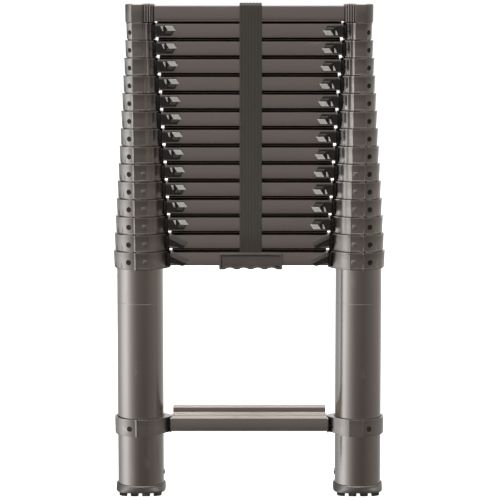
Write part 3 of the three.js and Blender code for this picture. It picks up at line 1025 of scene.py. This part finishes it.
def makeSlide(section, sideName):
    side = sides[sideName]
    place = latchPlace(section, side, side > 0)
    start, length = slide["start"], slide["length"]
    half = slide["height"] / 2
    end = start + length
    corner = half / 3
    outline = [(start, -half + corner), (start + corner, -half), (end - 2.2 * corner, -half),
               (end, half - 2 * corner), (end - corner, half), (start, half)]
    thick = slide["thick"]
    plate = frontPlate(outline, place, ((0.05 * mm, 0), (thick - 1.4 * mm, 0), (thick - 0.5 * mm, 0.5 * mm),
                                        (thick, 1.3 * mm)))
    body = f"latch_{section:02d}_{sideName}"
    shapes = [plate]
    for first, width, lean in slide["ridges"]:
        shapes.append(ridge(place, first * mm, width * mm, lean * mm, half * 0.86, thick))
    first, last, upper = (start + reach for reach in slide["step"])
    foot, head = -half * 0.62, half * 0.1
    wedge = [(first, foot), (last, foot), (end - 1.2 * mm, head), (upper, head)]
    step = frontPlate(wedge, place, ((thick - 0.4 * mm, 0), (thick + 1.2 * mm, 0.6 * mm),
                                     (thick + 1.9 * mm, 1.9 * mm)))
    piece(f"{body}_step", step, body, [body], stepPlastic, 30)
    made = piece(f"{body}_slide", together(*shapes), body, [body], blackPlastic, 30)
    rounded(made, 0.35 * mm, 2, 45)
    padStart, lean = start + slide["padStart"], slide["padLean"]
    low = half * 0.92 - slide["padHeight"]
    pad = [(padStart + lean, low), (padStart + lean + slide["padLength"], low),
           (padStart + slide["padLength"], half * 0.9), (padStart, half * 0.9)]
    proud = thick + slide["padProud"]
    shape = frontPlate(pad, place, ((thick - 0.5 * mm, 0), (proud - 0.5 * mm, 0), (proud, 0.6 * mm)))
    crest, width = slide["crest"]
    light = arcRib(place, start + crest, width, half * 0.84, -half * 0.02, thick)
    piece(f"{body}_pad", together(shape, light), body, [body], padPlastic, 30)


def ridge(place, first, width, lean, reach, thick):
    # a curved thumb rib that bows toward the rung's middle
    rings = []
    for step in range(9):
        part = step / 8
        v = mixed(-reach, reach, part)
        u = first + lean * math.sin(math.pi * part) * 0.5 + lean * 0.25 * (1 - part)
        swell = thick + 1.8 * mm * math.sin(math.pi * (0.12 + 0.76 * part))
        rings.append([place(u, v, thick - 0.6 * mm), place(u + width * 0.2, v, swell - 0.4 * mm),
                      place(u + width * 0.5, v, swell), place(u + width * 0.8, v, swell - 0.4 * mm),
                      place(u + width, v, thick - 0.6 * mm)])
    return loft(rings)


def arcRib(place, first, width, high, low, thick):
    # short light crest in front of the thumb pad, tapering downwards
    rings = []
    for step in range(7):
        part = step / 6
        v = mixed(high, low, part)
        u = first + 3.4 * mm * part
        wide = width * (1 - 0.4 * part)
        rise = thick + 2.6 * mm * math.cos(0.4 * math.pi * part)
        rings.append([place(u, v, thick - 0.4 * mm), place(u + wide * 0.25, v, rise - 0.35 * mm),
                      place(u + wide * 0.6, v, rise), place(u + wide, v, thick - 0.4 * mm)])
    return loft(rings)


lever = {
    "sections": 2,  # from the base up
    "band": 9.6 * mm,
    "rise": 2.2 * mm,  # above the rung's front face
    "drop": 20.8 * mm,
    "thick": 6.2 * mm,
    "reach": 31.6 * mm,
    "bump": 5.6 * mm,  # the heel under the lever, below its tip
    # outline of what is under the lever: inward of the nose, and above one of its three levels, mm
    "backing": (
        (0, "high", -21), (15, "low", -2.6), (18, "heel", 0.6), (20, "heel", 0), (24, "heel", 0),
        (26.4, "heel", 1.4), (28, "low", -1.4), (29.4, "low", 1.5), (27, "low", 7), (9, "high", -3),
        (0, "high", -2),
    ),
    "screw": ((3.1, 0), (3.1, 1.2), (2.4, 1.9), (0.1, 2.1)),  # radius and height, mm
    "screwAt": (9 * mm, -5.2 * mm),
}


def makeLever(section, sideName):
    side = sides[sideName]
    place = latchPlace(section, side, False)
    body = f"latch_{section:02d}_{sideName}"
    high = topRungHigh.z - middleOf(sectionCount) + lever["rise"] - slide["rise"]
    low = high - lever["drop"]
    half = lever["band"] / 2
    start = Vector((slide["start"] + half * 0.8, high - half))
    stop = Vector((slide["start"] + lever["reach"] - half, low + half))
    run = (stop - start).normalized()
    up = Vector((-run.y, run.x))
    outline = []
    for step in range(9):
        angle = mixed(-math.pi / 2, math.pi / 2, step / 8)
        outline.append(tuple(stop + run * half * math.cos(angle) + up * half * math.sin(angle)))
    for step in range(7):
        angle = mixed(math.pi / 2, 1.5 * math.pi, step / 6)
        outline.append(tuple(start + run * half * 0.75 * math.cos(angle) + up * half * math.sin(angle)))
    thick = lever["thick"]
    bar = frontPlate(outline, place, ((1.5 * mm, 0), (thick - 1.6 * mm, 0), (thick - 0.6 * mm, 0.6 * mm),
                                      (thick, 1.7 * mm), (thick + 0.3 * mm, 3.2 * mm)))
    piece(f"{body}_lever", bar, body, [body], leverPlastic, 40)
    levels = {"high": high, "low": low, "heel": low - lever["bump"]}
    under = [(slide["start"] + u * mm, levels[level] + v * mm) for u, level, v in lever["backing"]]
    backing = frontPlate(under, place, ((0.05 * mm, 0), (thick - 3.2 * mm, 0), (thick - 2.6 * mm, 0.7 * mm)))
    inward, rise = lever["screwAt"]
    seat = pointing(place(slide["start"] + inward, rise, thick - 3 * mm), (0, -1, 0))
    screw = turned([(radius * mm, height * mm) for radius, height in lever["screw"]], seat, 20)
    made = piece(f"{body}_backing", together(backing, screw), body, [body], blackPlastic, 35)
    rounded(made, 0.3 * mm, 2, 45)


for section in range(1, sectionCount):
    for sideName in sides:
        if section <= lever["sections"]:
            makeLever(section, sideName)
        else:
            makeSlide(section, sideName)
print("latches made")


handle = {
    "fingers": 4,
    "fingerPitch": 25 * mm,
    "fingerRadius": 15 * mm,
    "fingerDepth": 3.4 * mm,
    "corner": 2.2 * mm,
    "rim": 3.6 * mm,
    "recess": 1.3 * mm,
    "topBow": 0.9 * mm,
    "slotDepth": 3.2 * mm,
    "slotHalfWidth": 21.2 * mm,
}


def handleOutline():
    # (x, z) anticlockwise: along the finger scallops, up the end, back along the bowed top
    left, right = handleLow.x, handleHigh.x
    bottom, top = handleLow.z, handleHigh.z
    centre, corner = (left + right) / 2, handle["corner"]
    radius, depth = handle["fingerRadius"], handle["fingerDepth"]
    opening = math.acos((radius - depth) / radius)
    points = [(left, bottom + corner), (left + 0.3 * corner, bottom + 0.3 * corner), (left + corner, bottom)]
    for finger in range(handle["fingers"]):
        middle = centre + (finger - (handle["fingers"] - 1) / 2) * handle["fingerPitch"]
        for step in range(11):
            angle = mixed(math.pi / 2 + opening, math.pi / 2 - opening, step / 10)
            rise = bottom + depth - radius + radius * math.sin(angle)
            soft = 0.35 * mm * (abs(step - 5) / 5) ** 4
            points.append((middle + radius * math.cos(angle), rise + soft))
    points += [(right - corner, bottom), (right - 0.3 * corner, bottom + 0.3 * corner)]
    points += [(right, bottom + corner), (right, top - corner), (right - 0.3 * corner, top - 0.3 * corner)]
    for step in range(13):
        x = mixed(right - corner, left + corner, step / 12)
        points.append((x, top - handle["topBow"] * (2 * step / 12 - 1) ** 2 * 0.5))
    points += [(left + 0.3 * corner, top - 0.3 * corner), (left, top - corner)]
    return points


def makeHandle():
    outline = handleOutline()
    back, front = handleHigh.y, handleLow.y
    rim, recess = handle["rim"], handle["recess"]
    stops = ((back, 0), (front + 3 * mm, 0), (front + 1.2 * mm, 0.4 * mm), (front + 0.35 * mm, 1.1 * mm),
             (front, 2.1 * mm), (front + 0.1 * mm, rim - 0.3 * mm), (front + recess, rim + 0.5 * mm),
             (front + recess, rim + 1.6 * mm))
    rings = [[Vector((x, y, z)) for x, z in grown(outline, -inset)] for y, inset in stops]
    centre = (handleLow.x + handleHigh.x) / 2
    reach, slot = handle["slotHalfWidth"], handle["slotDepth"]
    square = ((-1, -1), (1, -1), (1, 1), (-1, 1))
    corners = [(centre + a * reach, back + b * slot) for a, b in square]
    cutter = loft([[Vector((x, y, z)) for x, y in corners] for z in (handleLow.z - rim, handleHigh.z + rim)])
    made = piece("handle", carved(loft(rings), [cutter]), "base", ["carry_handle"],
                 gripPlastic, 30)
    rounded(made, 0.3 * mm, 2, 55)


makeHandle()
print("handle made")


strap = {
    "thick": 2.0 * mm,
    "ribs": 7,
    "ribHeight": 0.5 * mm,
    "selvedge": 0.35 * mm,
    "bend": 2.6 * mm,  # rounding where the strap turns
    "acrossSteps": 56,
    "step": 9 * mm,
}


def softened(path, bend):
    # rounds the corners of a (y, z) path and puts points evenly along its straight runs
    points = [Vector(path[0])]
    for before, here, after in zip(path, path[1:], path[2:]):
        here = Vector(here)
        into = Vector(before) - here
        out = Vector(after) - here
        reach = min(bend, into.length * 0.45, out.length * 0.45)
        start, stop = here + into.normalized() * reach, here + out.normalized() * reach
        for step in range(6):
            part = step / 5
            points.append(start * (1 - part) ** 2 + here * 2 * part * (1 - part) + stop * part ** 2)
    points.append(Vector(path[-1]))
    even = [points[0]]
    for here, there in zip(points, points[1:]):
        count = max(1, round((there - here).length / strap["step"]))
        even += [here.lerp(there, (i + 1) / count) for i in range(count)]
    return even


def strapSection():
    # half thickness across the width, from -1 to 1: ribs between two firm selvedges
    count = strap["acrossSteps"]
    line = []
    for i in range(count + 1):
        part = 2 * i / count - 1
        rib = 0.5 - 0.5 * math.cos(2 * math.pi * strap["ribs"] * (part + 1) / 2)
        edge = 1.0 if abs(part) > 0.88 else 0.0
        swell = max(rib * strap["ribHeight"] * (1 - edge), edge * strap["selvedge"])
        half = strap["thick"] / 2 - strap["ribHeight"] + swell
        line.append((part, half * math.sqrt(max(0.05, 1 - abs(part) ** 24))))
    return line


def band(path, left, right):
    points = softened(path, strap["bend"])
    profile = strapSection()
    rings = []
    for i, here in enumerate(points):
        before, after = points[max(i - 1, 0)], points[min(i + 1, len(points) - 1)]
        along = (after - before).normalized()
        out = Vector((-along.y, along.x))
        ring = []
        for sign in (1, -1):
            for part, half in (profile if sign > 0 else reversed(profile)):
                at = here + out * half * sign
                ring.append(Vector((mixed(left, right, (part + 1) / 2), at.x, at.y)))
        rings.append(ring)
    return loft(rings)


def makeStrap():
    lie = strap["thick"] / 2
    left, right = loopLow.x, loopHigh.x
    front, back = loopLow.y + lie, loopHigh.y - lie
    high = topRungHigh.z + 0.5 * mm + lie
    crown = loopHigh.z - lie
    loop = [(front, tailHighFront + 0.3 * mm), (front, high), (rungFront / 2, crown), (rungBack / 2, crown),
            (back, high), (back, baseMiddle + stackPitch)]
    piece("strap_over", band(loop, left, right), "top_section", ["strap_loop"], strapWeave, 50)
    under = tailLow.z + lie
    outer = tailHigh.y - lie
    step = rungFront + rung["treadDepth"]
    rear = rungLow.z + 5.2 * mm
    tail = [(front, tailHighFront), (front, under), (step, under + 5.2 * mm),
            (outer - 3 * mm, rear + 1.6 * mm), (outer, rear + 6 * mm), (outer, tailHigh.z)]
    piece("strap_under", band(tail, left, right), "base", ["strap_tail"], strapWeave, 50)


tailHighFront = baseMiddle + 4 * mm - 0.3 * mm  # where the strap is joined behind the handle
makeStrap()
print("strap made")


boot = {
    "steps": 72,
    "lug": 7 * mm,
    "height": 11.6 * mm,  # above the lugs
    "rimRadius": 3.2 * mm,  # past the tube
    # outward of the rim, squareness, and height above the underside, then below the top edge, mm
    "lower": ((-1.2, 3.5, 0), (-0.3, 3.5, 0.6), (0, 3.4, 1.4), (0, 2.9, 4.5), (0, 2.3, 8)),
    "upper": ((0, 2.0, -1.4), (-0.2, 2.0, -0.5), (-0.8, 2.0, 0), (-1.4, 2.0, -0.1)),
    "gap": 1.6 * mm,  # round the tube, where the black ring of painted shade sits
    "lugWidth": 14.5 * mm,
    "lugPitch": 20.8 * mm,
    "lugs": 4,
    "lugInset": 2.0 * mm,
    "rivetHeight": 38 * mm,
    "rivetRadius": 5.6 * mm,
    "rivet": ((1, 0), (1, 1.2), (0.86, 1.9), (0.5, 2.4), (0.1, 2.5)),  # radius part and height, mm
    "solePower": 4.0,
}


def squareRing(side, half, power, z):
    # a rounded square, round at power 2
    ring = []
    for step in range(boot["steps"]):
        angle = 2 * math.pi * step / boot["steps"]
        c, s = math.cos(angle), math.sin(angle)
        reach = half / (abs(c) ** power + abs(s) ** power) ** (1 / power)
        ring.append(Vector((across(side, 0) + reach * c, reach * s, z)))
    return ring


def makeFoot(sideName):
    side = sides[sideName]
    bottom, top = boot["lug"] - 0.9 * mm, boot["lug"] + boot["height"]
    outer = baseRadius + boot["rimRadius"]
    stops = [(outer + out * mm, power, bottom + rise * mm) for out, power, rise in boot["lower"]]
    stops += [(outer + out * mm, power, top + rise * mm) for out, power, rise in boot["upper"]]
    gap, core, floor = baseRadius + boot["gap"], baseRadius * 0.5, tubeLow.z - 0.2 * mm
    stops += [(gap, 2.0, top - 1.2 * mm), (gap, 2.0, floor), (core, 2.0, floor), (core, 2.0, bottom)]
    rings = [squareRing(side, half, power, z) for half, power, z in stops]
    nodes = [f"foot_{sideName}"]
    piece(f"boot_{sideName}", loft(rings, looped=True), "base", nodes, bootBronze, 40)
    # black ring of painted shade where the tube enters the boot
    makeTubeShadeRing(f"boot_tube_shade_ring_{sideName}", side, top - 0.6 * mm, nodes)
    shapes = [sole(side, outer)]
    shapes += [lug(side, outer, i) for i in range(boot["lugs"])]
    made = piece(f"sole_{sideName}", together(*shapes), "base", nodes, soleRubber, 40)
    rounded(made, 0.8 * mm, 2, 50)
    seat = pointing((across(side, baseRadius - 0.6 * mm), 0, boot["rivetHeight"]), (-side, 0, 0))
    rivet = turned([(boot["rivetRadius"] * part, z * mm) for part, z in boot["rivet"]], seat, 28)
    piece(f"boot_rivet_{sideName}", rivet, "base", nodes, castBronze, 40)


def sole(side, outer):
    stops = ((-5 * mm, -0.8 * mm), (-4 * mm, -0.2 * mm), (-4 * mm, 0.4 * mm))
    return loft([squareRing(side, outer + out, boot["solePower"], boot["lug"] + z) for out, z in stops])


def lug(side, outer, index):
    # one bar across the sole, its ends following the boot's outline
    centre = across(side, 0) + (index - (boot["lugs"] - 1) / 2) * boot["lugPitch"]
    reach = outer - boot["lugInset"]
    rings = []
    for z, taper in ((0.0, 1.0 * mm), (0.9 * mm, 0.3 * mm), (boot["lug"], 0.0)):
        ring = []
        half = boot["lugWidth"] / 2 - taper
        xs = [centre - half + 2 * half * i / 6 for i in range(7)]
        for sign, line in ((-1, xs), (1, reversed(xs))):
            for x in line:
                depth = squareDepth(x - across(side, 0), reach) - taper
                ring.append(Vector((x, sign * depth, z)))
        rings.append(ring)
    return loft(rings)


def squareDepth(x, half):
    power = boot["solePower"]
    return (max(0.0, half ** power - abs(x) ** power)) ** (1 / power)


for sideName in sides:
    makeFoot(sideName)
print("feet made")


studio = {
    "floorFront": -0.32,
    "floorBack": 9.0,
    "floorHalf": 6.0,
    "floorGlow": 1.0,
    "gain": 1.7,
    # brightness round the ladder by heading: 0 is the climber's side, 90 the right, 180 behind
    "headings": (
        (-180, (0.85, 0.88, 0.91)), (-150, (0.62, 0.65, 0.68)), (-126, (0.6, 0.64, 0.67)),
        (-106, (1.05, 1.1, 1.16)), (-92, (1.55, 1.61, 1.68)), (-72, (1.55, 1.6, 1.65)),
        (-60, (1.0, 1.02, 1.05)), (-44, (0.55, 0.55, 0.57)), (-26, (0.29, 0.275, 0.275)),
        (-8, (0.18, 0.166, 0.166)), (22, (0.145, 0.13, 0.125)), (66, (0.24, 0.22, 0.205)),
        (110, (0.37, 0.36, 0.352)), (132, (0.5, 0.5, 0.5)), (156, (0.95, 0.98, 1.0)),
        (180, (0.85, 0.88, 0.91)),
    ),
    "overhead": 1.35,
    "backdrop": 1.15,  # behind the ladder, seen by the camera only
    "lowDim": 0.62,  # the walls near the floor
    "leftDim": 0.7,  # the far end of the left wall, level with the top
    "frontGlow": (0.13, 0.12, 0.12),  # on the climber's side, level with the top
}


def makeWorld():
    world = bpy.data.worlds.new("studio")
    bpy.context.scene.world = world
    world.use_nodes = True
    graph = Graph(world.node_tree)
    background = graph.tree.nodes["Background"]
    x, y, z = graph.apart(graph.node("ShaderNodeTexCoord", out="Generated"))
    turn = graph.maths("ARCTAN2", x, 0 - y) / (2 * math.pi) + 0.5
    gain = studio["gain"]
    stops = [((angle + 180) / 360, tuple(c / gain for c in colour)) for angle, colour in studio["headings"]]
    around = graph.node("ShaderNodeValToRGB", {"stops": stops}, {0: turn})
    above = graph.steps(z, 0.5, 0.85)
    low = graph.steps(z, -0.12, -0.25) * (1 - studio["lowDim"])
    walls = graph.blend(low, around, rgba((0, 0, 0)))
    left = graph.steps(0 - x, 0.2, 0.5) * graph.steps(y, -0.35, 0.0)
    left = left * graph.steps(z, -0.15, -0.04)
    walls = graph.blend(left * studio["leftDim"], walls, rgba((0, 0, 0)))
    ahead = graph.steps(0 - y, 0.8, 1.0) * graph.steps(z, -0.08, 0.0)
    walls = graph.node("ShaderNodeMix", {"data_type": "RGBA", "blend_type": "ADD"},
                       {0: ahead, 6: walls, 7: rgba(studio["frontGlow"], 1 / gain)}, out=2)
    dome = graph.blend(above, walls, rgba((1, 1, 1), studio["overhead"] / gain))
    seen = graph.node("ShaderNodeLightPath", out="Is Camera Ray")
    shown = graph.blend(seen, dome, rgba((1, 1, 1), studio["backdrop"] / gain))
    graph.tree.links.new(shown.socket, background.inputs["Color"])
    background.inputs["Strength"].default_value = gain


def makeFloor():
    back, front, half = studio["floorBack"], studio["floorFront"], studio["floorHalf"]
    mesh = bpy.data.meshes.new("floor")
    corners = [(-half, front, 0), (half, front, 0), (half, back, 0), (-half, back, 0)]
    mesh.from_pydata(corners, [], [(0, 1, 2, 3)])
    floor = bpy.data.objects.new("floor", mesh)
    bpy.context.scene.collection.objects.link(floor)
    paint = Finish("floor_paint", {"Base Color": (0.92, 0.92, 0.92, 1.0), "Roughness": 0.9,
                                   "Specular IOR Level": 0.1})
    glow = paint.shader.inputs
    glow["Emission Color"].default_value = (1, 1, 1, 1)
    glow["Emission Strength"].default_value = studio["floorGlow"]
    mesh.materials.append(paint.material)
    floor.visible_glossy = False  # the metal mirrors the studio's walls, not the floor


lamp = {
    "place": (-0.9, -1.2, 8.2),  # above the ladder at its full length
    "aim": (0, 0, 0.4),
    "size": 4.8,
    "energy": 234,
}


def makeLamp():
    light = bpy.data.lights.new("overhead", "AREA")
    light.size = lamp["size"]
    light.energy = lamp["energy"]
    made = bpy.data.objects.new("overhead", light)
    made.location = lamp["place"]
    aim = Vector(lamp["aim"]) - Vector(lamp["place"])
    made.rotation_euler = aim.to_track_quat("-Z", "Y").to_euler()
    bpy.context.scene.collection.objects.link(made)


lens = {
    "sensor": 36,
    "length": 180.04,
    "shift": 0.0014,
    "place": (0, -4.5, 1.0308),
    "down": math.radians(7.39),
}


def makeCamera():
    view = bpy.data.cameras.new("camera")
    view.sensor_width = lens["sensor"]
    view.lens = lens["length"]
    view.shift_x = lens["shift"]
    camera = bpy.data.objects.new("camera", view)
    camera.location = lens["place"]
    camera.rotation_euler = (math.pi / 2 - lens["down"], 0, 0)
    bpy.context.scene.collection.objects.link(camera)
    bpy.context.scene.camera = camera


makeWorld()
makeFloor()
makeLamp()
makeCamera()
bpy.context.scene.view_settings.view_transform = "Standard"
print("studio made")
